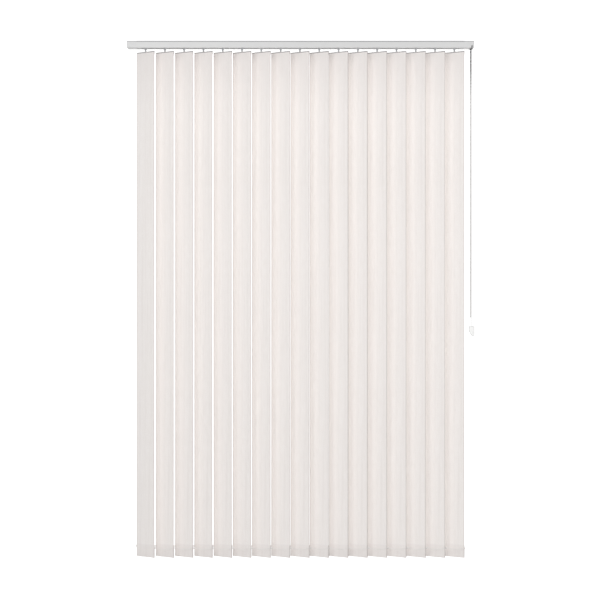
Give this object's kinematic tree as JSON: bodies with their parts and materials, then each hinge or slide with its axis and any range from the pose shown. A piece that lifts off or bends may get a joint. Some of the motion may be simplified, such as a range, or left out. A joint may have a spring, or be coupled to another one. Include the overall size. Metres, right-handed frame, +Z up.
{
  "type": "vertical blind",
  "caption": "Vertical blind with cloth louvres on sliding, turning carriers in a headrail, weighted at the foot and linked by chains, worked by a cord loop and a bead chain.",
  "frame": {"origin": "middle of the headrail's top face", "axes": "+X along the headrail towards the control end, -Y into the room, +Z up"},
  "size_m": [1.419, 0.0552, 2.1095],
  "materials": {
    "painted_rail": "satin light grey coat",
    "cap_plastic": "moulded, light grey",
    "rod_metal": "drawn",
    "bead_chain": "moulded beads on a thread",
    "cord_braid": "braided",
    "weight_plastic": "moulded white",
    "link_plastic": "moulded white",
    "carrier_plastic": "moulded grey",
    "gear_plastic": "moulded",
    "louvre_cloth": "woven, warm white"
  },
  "bodies": {
    "root": {"headrail": "painted_rail", "idle_end_cap": "cap_plastic", "control_end_cap": "cap_plastic", "tilt_chain": "bead_chain", "traverse_cord": "cord_braid", "cord_weight": "weight_plastic", "carrier_01": "carrier_plastic"},
    "carrier_02": {"carrier_02": "carrier_plastic"},
    "carrier_03": {"carrier_03": "carrier_plastic"},
    "carrier_04": {"carrier_04": "carrier_plastic"},
    "carrier_05": {"carrier_05": "carrier_plastic"},
    "carrier_06": {"carrier_06": "carrier_plastic"},
    "carrier_07": {"carrier_07": "carrier_plastic"},
    "carrier_08": {"carrier_08": "carrier_plastic"},
    "carrier_09": {"carrier_09": "carrier_plastic"},
    "carrier_10": {"carrier_10": "carrier_plastic"},
    "carrier_11": {"carrier_11": "carrier_plastic"},
    "carrier_12": {"carrier_12": "carrier_plastic"},
    "carrier_13": {"carrier_13": "carrier_plastic"},
    "carrier_14": {"carrier_14": "carrier_plastic"},
    "carrier_15": {"carrier_15": "carrier_plastic"},
    "carrier_16": {"carrier_16": "carrier_plastic"},
    "carrier_17": {"carrier_17": "carrier_plastic"},
    "worm_01": {"worm_01": "gear_plastic"},
    "worm_02": {"worm_02": "gear_plastic"},
    "worm_03": {"worm_03": "gear_plastic"},
    "worm_04": {"worm_04": "gear_plastic"},
    "worm_05": {"worm_05": "gear_plastic"},
    "worm_06": {"worm_06": "gear_plastic"},
    "worm_07": {"worm_07": "gear_plastic"},
    "worm_08": {"worm_08": "gear_plastic"},
    "worm_09": {"worm_09": "gear_plastic"},
    "worm_10": {"worm_10": "gear_plastic"},
    "worm_11": {"worm_11": "gear_plastic"},
    "worm_12": {"worm_12": "gear_plastic"},
    "worm_13": {"worm_13": "gear_plastic"},
    "worm_14": {"worm_14": "gear_plastic"},
    "worm_15": {"worm_15": "gear_plastic"},
    "worm_16": {"worm_16": "gear_plastic"},
    "worm_17": {"worm_17": "gear_plastic"},
    "vane_01": {"vane_01": "louvre_cloth"},
    "vane_02": {"vane_02": "louvre_cloth"},
    "vane_03": {"vane_03": "louvre_cloth"},
    "vane_04": {"vane_04": "louvre_cloth"},
    "vane_05": {"vane_05": "louvre_cloth"},
    "vane_06": {"vane_06": "louvre_cloth"},
    "vane_07": {"vane_07": "louvre_cloth"},
    "vane_08": {"vane_08": "louvre_cloth"},
    "vane_09": {"vane_09": "louvre_cloth"},
    "vane_10": {"vane_10": "louvre_cloth"},
    "vane_11": {"vane_11": "louvre_cloth"},
    "vane_12": {"vane_12": "louvre_cloth"},
    "vane_13": {"vane_13": "louvre_cloth"},
    "vane_14": {"vane_14": "louvre_cloth"},
    "vane_15": {"vane_15": "louvre_cloth"},
    "vane_16": {"vane_16": "louvre_cloth"},
    "vane_17": {"vane_17": "louvre_cloth"},
    "tilt_rod": {"tilt_rod": "rod_metal"},
    "front_chain": {"front_chain": "link_plastic"},
    "back_chain": {"back_chain": "link_plastic"}
  },
  "joints": [
    {"name": "traverse", "type": "slide", "parent": "root", "child": "carrier_17", "axis": [-1, 0, 0], "range_m": [0, 1.016], "deforming": ["front_chain", "back_chain"]},
    {"name": "carrier_02_slide", "type": "slide", "parent": "root", "child": "carrier_02", "axis": [-1, 0, 0], "range_m": [0, 0.0635]},
    {"name": "carrier_03_slide", "type": "slide", "parent": "root", "child": "carrier_03", "axis": [-1, 0, 0], "range_m": [0, 0.127]},
    {"name": "carrier_04_slide", "type": "slide", "parent": "root", "child": "carrier_04", "axis": [-1, 0, 0], "range_m": [0, 0.1905]},
    {"name": "carrier_05_slide", "type": "slide", "parent": "root", "child": "carrier_05", "axis": [-1, 0, 0], "range_m": [0, 0.254]},
    {"name": "carrier_06_slide", "type": "slide", "parent": "root", "child": "carrier_06", "axis": [-1, 0, 0], "range_m": [0, 0.3175]},
    {"name": "carrier_07_slide", "type": "slide", "parent": "root", "child": "carrier_07", "axis": [-1, 0, 0], "range_m": [0, 0.381]},
    {"name": "carrier_08_slide", "type": "slide", "parent": "root", "child": "carrier_08", "axis": [-1, 0, 0], "range_m": [0, 0.4445]},
    {"name": "carrier_09_slide", "type": "slide", "parent": "root", "child": "carrier_09", "axis": [-1, 0, 0], "range_m": [0, 0.508]},
    {"name": "carrier_10_slide", "type": "slide", "parent": "root", "child": "carrier_10", "axis": [-1, 0, 0], "range_m": [0, 0.5715]},
    {"name": "carrier_11_slide", "type": "slide", "parent": "root", "child": "carrier_11", "axis": [-1, 0, 0], "range_m": [0, 0.635]},
    {"name": "carrier_12_slide", "type": "slide", "parent": "root", "child": "carrier_12", "axis": [-1, 0, 0], "range_m": [0, 0.6985]},
    {"name": "carrier_13_slide", "type": "slide", "parent": "root", "child": "carrier_13", "axis": [-1, 0, 0], "range_m": [0, 0.762]},
    {"name": "carrier_14_slide", "type": "slide", "parent": "root", "child": "carrier_14", "axis": [-1, 0, 0], "range_m": [0, 0.8255]},
    {"name": "carrier_15_slide", "type": "slide", "parent": "root", "child": "carrier_15", "axis": [-1, 0, 0], "range_m": [0, 0.889]},
    {"name": "carrier_16_slide", "type": "slide", "parent": "root", "child": "carrier_16", "axis": [-1, 0, 0], "range_m": [0, 0.9525]},
    {"name": "tilt", "type": "hinge", "parent": "root", "child": "vane_01", "pos_m": [-0.634, 0, 0], "axis": [0, 0, -1], "range_deg": [-19, 139]},
    {"name": "vane_02_tilt", "type": "hinge", "parent": "carrier_02", "child": "vane_02", "pos_m": [-0.555, 0, 0], "axis": [0, 0, -1], "range_deg": [-19, 139]},
    {"name": "vane_03_tilt", "type": "hinge", "parent": "carrier_03", "child": "vane_03", "pos_m": [-0.476, 0, 0], "axis": [0, 0, -1], "range_deg": [-19, 139]},
    {"name": "vane_04_tilt", "type": "hinge", "parent": "carrier_04", "child": "vane_04", "pos_m": [-0.397, 0, 0], "axis": [0, 0, -1], "range_deg": [-19, 139]},
    {"name": "vane_05_tilt", "type": "hinge", "parent": "carrier_05", "child": "vane_05", "pos_m": [-0.318, 0, 0], "axis": [0, 0, -1], "range_deg": [-19, 139]},
    {"name": "vane_06_tilt", "type": "hinge", "parent": "carrier_06", "child": "vane_06", "pos_m": [-0.239, 0, 0], "axis": [0, 0, -1], "range_deg": [-19, 139]},
    {"name": "vane_07_tilt", "type": "hinge", "parent": "carrier_07", "child": "vane_07", "pos_m": [-0.16, 0, 0], "axis": [0, 0, -1], "range_deg": [-19, 139]},
    {"name": "vane_08_tilt", "type": "hinge", "parent": "carrier_08", "child": "vane_08", "pos_m": [-0.081, 0, 0], "axis": [0, 0, -1], "range_deg": [-19, 139]},
    {"name": "vane_09_tilt", "type": "hinge", "parent": "carrier_09", "child": "vane_09", "pos_m": [-0.002, 0, 0], "axis": [0, 0, -1], "range_deg": [-19, 139]},
    {"name": "vane_10_tilt", "type": "hinge", "parent": "carrier_10", "child": "vane_10", "pos_m": [0.077, 0, 0], "axis": [0, 0, -1], "range_deg": [-19, 139]},
    {"name": "vane_11_tilt", "type": "hinge", "parent": "carrier_11", "child": "vane_11", "pos_m": [0.156, 0, 0], "axis": [0, 0, -1], "range_deg": [-19, 139]},
    {"name": "vane_12_tilt", "type": "hinge", "parent": "carrier_12", "child": "vane_12", "pos_m": [0.235, 0, 0], "axis": [0, 0, -1], "range_deg": [-19, 139]},
    {"name": "vane_13_tilt", "type": "hinge", "parent": "carrier_13", "child": "vane_13", "pos_m": [0.314, 0, 0], "axis": [0, 0, -1], "range_deg": [-19, 139]},
    {"name": "vane_14_tilt", "type": "hinge", "parent": "carrier_14", "child": "vane_14", "pos_m": [0.393, 0, 0], "axis": [0, 0, -1], "range_deg": [-19, 139]},
    {"name": "vane_15_tilt", "type": "hinge", "parent": "carrier_15", "child": "vane_15", "pos_m": [0.472, 0, 0], "axis": [0, 0, -1], "range_deg": [-19, 139]},
    {"name": "vane_16_tilt", "type": "hinge", "parent": "carrier_16", "child": "vane_16", "pos_m": [0.551, 0, 0], "axis": [0, 0, -1], "range_deg": [-19, 139]},
    {"name": "vane_17_tilt", "type": "hinge", "parent": "carrier_17", "child": "vane_17", "pos_m": [0.63, 0, 0], "axis": [0, 0, -1], "range_deg": [-19, 139]},
    {"name": "worm_01_turn", "type": "hinge", "parent": "root", "child": "worm_01", "pos_m": [-0.634, 0.0107, -0.01425], "axis": [-1, 0, 0], "range_deg": [-190, 1390]},
    {"name": "worm_02_turn", "type": "hinge", "parent": "carrier_02", "child": "worm_02", "pos_m": [-0.555, 0.0107, -0.01425], "axis": [-1, 0, 0], "range_deg": [-190, 1390]},
    {"name": "worm_03_turn", "type": "hinge", "parent": "carrier_03", "child": "worm_03", "pos_m": [-0.476, 0.0107, -0.01425], "axis": [-1, 0, 0], "range_deg": [-190, 1390]},
    {"name": "worm_04_turn", "type": "hinge", "parent": "carrier_04", "child": "worm_04", "pos_m": [-0.397, 0.0107, -0.01425], "axis": [-1, 0, 0], "range_deg": [-190, 1390]},
    {"name": "worm_05_turn", "type": "hinge", "parent": "carrier_05", "child": "worm_05", "pos_m": [-0.318, 0.0107, -0.01425], "axis": [-1, 0, 0], "range_deg": [-190, 1390]},
    {"name": "worm_06_turn", "type": "hinge", "parent": "carrier_06", "child": "worm_06", "pos_m": [-0.239, 0.0107, -0.01425], "axis": [-1, 0, 0], "range_deg": [-190, 1390]},
    {"name": "worm_07_turn", "type": "hinge", "parent": "carrier_07", "child": "worm_07", "pos_m": [-0.16, 0.0107, -0.01425], "axis": [-1, 0, 0], "range_deg": [-190, 1390]},
    {"name": "worm_08_turn", "type": "hinge", "parent": "carrier_08", "child": "worm_08", "pos_m": [-0.081, 0.0107, -0.01425], "axis": [-1, 0, 0], "range_deg": [-190, 1390]},
    {"name": "worm_09_turn", "type": "hinge", "parent": "carrier_09", "child": "worm_09", "pos_m": [-0.002, 0.0107, -0.01425], "axis": [-1, 0, 0], "range_deg": [-190, 1390]},
    {"name": "worm_10_turn", "type": "hinge", "parent": "carrier_10", "child": "worm_10", "pos_m": [0.077, 0.0107, -0.01425], "axis": [-1, 0, 0], "range_deg": [-190, 1390]},
    {"name": "worm_11_turn", "type": "hinge", "parent": "carrier_11", "child": "worm_11", "pos_m": [0.156, 0.0107, -0.01425], "axis": [-1, 0, 0], "range_deg": [-190, 1390]},
    {"name": "worm_12_turn", "type": "hinge", "parent": "carrier_12", "child": "worm_12", "pos_m": [0.235, 0.0107, -0.01425], "axis": [-1, 0, 0], "range_deg": [-190, 1390]},
    {"name": "worm_13_turn", "type": "hinge", "parent": "carrier_13", "child": "worm_13", "pos_m": [0.314, 0.0107, -0.01425], "axis": [-1, 0, 0], "range_deg": [-190, 1390]},
    {"name": "worm_14_turn", "type": "hinge", "parent": "carrier_14", "child": "worm_14", "pos_m": [0.393, 0.0107, -0.01425], "axis": [-1, 0, 0], "range_deg": [-190, 1390]},
    {"name": "worm_15_turn", "type": "hinge", "parent": "carrier_15", "child": "worm_15", "pos_m": [0.472, 0.0107, -0.01425], "axis": [-1, 0, 0], "range_deg": [-190, 1390]},
    {"name": "worm_16_turn", "type": "hinge", "parent": "carrier_16", "child": "worm_16", "pos_m": [0.551, 0.0107, -0.01425], "axis": [-1, 0, 0], "range_deg": [-190, 1390]},
    {"name": "worm_17_turn", "type": "hinge", "parent": "carrier_17", "child": "worm_17", "pos_m": [0.63, 0.0107, -0.01425], "axis": [-1, 0, 0], "range_deg": [-190, 1390]},
    {"name": "tilt_rod_turn", "type": "hinge", "parent": "root", "child": "tilt_rod", "pos_m": [0, 0.0107, -0.01425], "axis": [-1, 0, 0], "range_deg": [-190, 1390]},
    {"name": "front_chain_swing", "type": "hinge", "parent": "vane_01", "child": "front_chain", "pos_m": [-0.5907, -0.025, -2.069], "axis": [0, 0, -1], "range_deg": [-139, 19]},
    {"name": "back_chain_swing", "type": "hinge", "parent": "vane_01", "child": "back_chain", "pos_m": [-0.6773, 0.025, -2.069], "axis": [0, 0, -1], "range_deg": [-139, 19]}
  ],
  "couplings": [
    {"joint": "carrier_02_slide", "follows": "traverse", "ratio": 0.0625},
    {"joint": "carrier_03_slide", "follows": "traverse", "ratio": 0.125},
    {"joint": "carrier_04_slide", "follows": "traverse", "ratio": 0.1875},
    {"joint": "carrier_05_slide", "follows": "traverse", "ratio": 0.25},
    {"joint": "carrier_06_slide", "follows": "traverse", "ratio": 0.3125},
    {"joint": "carrier_07_slide", "follows": "traverse", "ratio": 0.375},
    {"joint": "carrier_08_slide", "follows": "traverse", "ratio": 0.4375},
    {"joint": "carrier_09_slide", "follows": "traverse", "ratio": 0.5},
    {"joint": "carrier_10_slide", "follows": "traverse", "ratio": 0.5625},
    {"joint": "carrier_11_slide", "follows": "traverse", "ratio": 0.625},
    {"joint": "carrier_12_slide", "follows": "traverse", "ratio": 0.6875},
    {"joint": "carrier_13_slide", "follows": "traverse", "ratio": 0.75},
    {"joint": "carrier_14_slide", "follows": "traverse", "ratio": 0.8125},
    {"joint": "carrier_15_slide", "follows": "traverse", "ratio": 0.875},
    {"joint": "carrier_16_slide", "follows": "traverse", "ratio": 0.9375},
    {"joint": "vane_02_tilt", "follows": "tilt", "ratio": 1},
    {"joint": "vane_03_tilt", "follows": "tilt", "ratio": 1},
    {"joint": "vane_04_tilt", "follows": "tilt", "ratio": 1},
    {"joint": "vane_05_tilt", "follows": "tilt", "ratio": 1},
    {"joint": "vane_06_tilt", "follows": "tilt", "ratio": 1},
    {"joint": "vane_07_tilt", "follows": "tilt", "ratio": 1},
    {"joint": "vane_08_tilt", "follows": "tilt", "ratio": 1},
    {"joint": "vane_09_tilt", "follows": "tilt", "ratio": 1},
    {"joint": "vane_10_tilt", "follows": "tilt", "ratio": 1},
    {"joint": "vane_11_tilt", "follows": "tilt", "ratio": 1},
    {"joint": "vane_12_tilt", "follows": "tilt", "ratio": 1},
    {"joint": "vane_13_tilt", "follows": "tilt", "ratio": 1},
    {"joint": "vane_14_tilt", "follows": "tilt", "ratio": 1},
    {"joint": "vane_15_tilt", "follows": "tilt", "ratio": 1},
    {"joint": "vane_16_tilt", "follows": "tilt", "ratio": 1},
    {"joint": "vane_17_tilt", "follows": "tilt", "ratio": 1},
    {"joint": "worm_01_turn", "follows": "tilt", "ratio": 10},
    {"joint": "worm_02_turn", "follows": "tilt", "ratio": 10},
    {"joint": "worm_03_turn", "follows": "tilt", "ratio": 10},
    {"joint": "worm_04_turn", "follows": "tilt", "ratio": 10},
    {"joint": "worm_05_turn", "follows": "tilt", "ratio": 10},
    {"joint": "worm_06_turn", "follows": "tilt", "ratio": 10},
    {"joint": "worm_07_turn", "follows": "tilt", "ratio": 10},
    {"joint": "worm_08_turn", "follows": "tilt", "ratio": 10},
    {"joint": "worm_09_turn", "follows": "tilt", "ratio": 10},
    {"joint": "worm_10_turn", "follows": "tilt", "ratio": 10},
    {"joint": "worm_11_turn", "follows": "tilt", "ratio": 10},
    {"joint": "worm_12_turn", "follows": "tilt", "ratio": 10},
    {"joint": "worm_13_turn", "follows": "tilt", "ratio": 10},
    {"joint": "worm_14_turn", "follows": "tilt", "ratio": 10},
    {"joint": "worm_15_turn", "follows": "tilt", "ratio": 10},
    {"joint": "worm_16_turn", "follows": "tilt", "ratio": 10},
    {"joint": "worm_17_turn", "follows": "tilt", "ratio": 10},
    {"joint": "tilt_rod_turn", "follows": "tilt", "ratio": 10},
    {"joint": "front_chain_swing", "follows": "tilt", "ratio": -1},
    {"joint": "back_chain_swing", "follows": "tilt", "ratio": -1}
  ]
}
